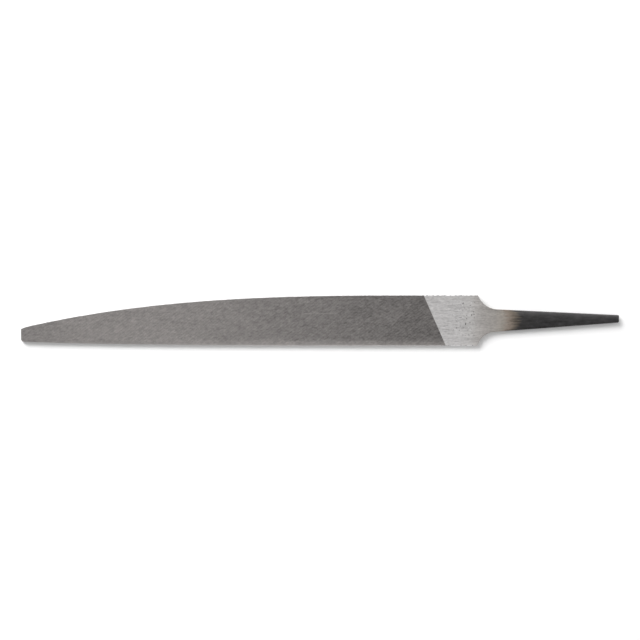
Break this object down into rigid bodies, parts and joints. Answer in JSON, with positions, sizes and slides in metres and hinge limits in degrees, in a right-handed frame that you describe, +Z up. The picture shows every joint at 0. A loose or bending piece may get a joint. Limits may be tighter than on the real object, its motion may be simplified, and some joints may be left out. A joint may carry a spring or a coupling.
{
  "type": "knife-pattern file",
  "caption": "Bare steel file with a wedge section, a straight thin edge, a thick back that curves to a blunt point, a plain heel with concave shoulders, and a tapering tang for a handle.",
  "frame": {"origin": "under the middle of the file's box, on the plane that its lower broad face lies on", "axes": "+X from the point to the tang, +Y towards the thick curved back, +Z up through the thickness"},
  "size_m": [0.1996, 0.0168, 0.004],
  "materials": {
    "tool_steel": "grey cut faces, bright ground heel, tang black after a brown heat tint"
  },
  "bodies": {
    "root": {"knife_file": "tool_steel"}
  },
  "joints": []
}
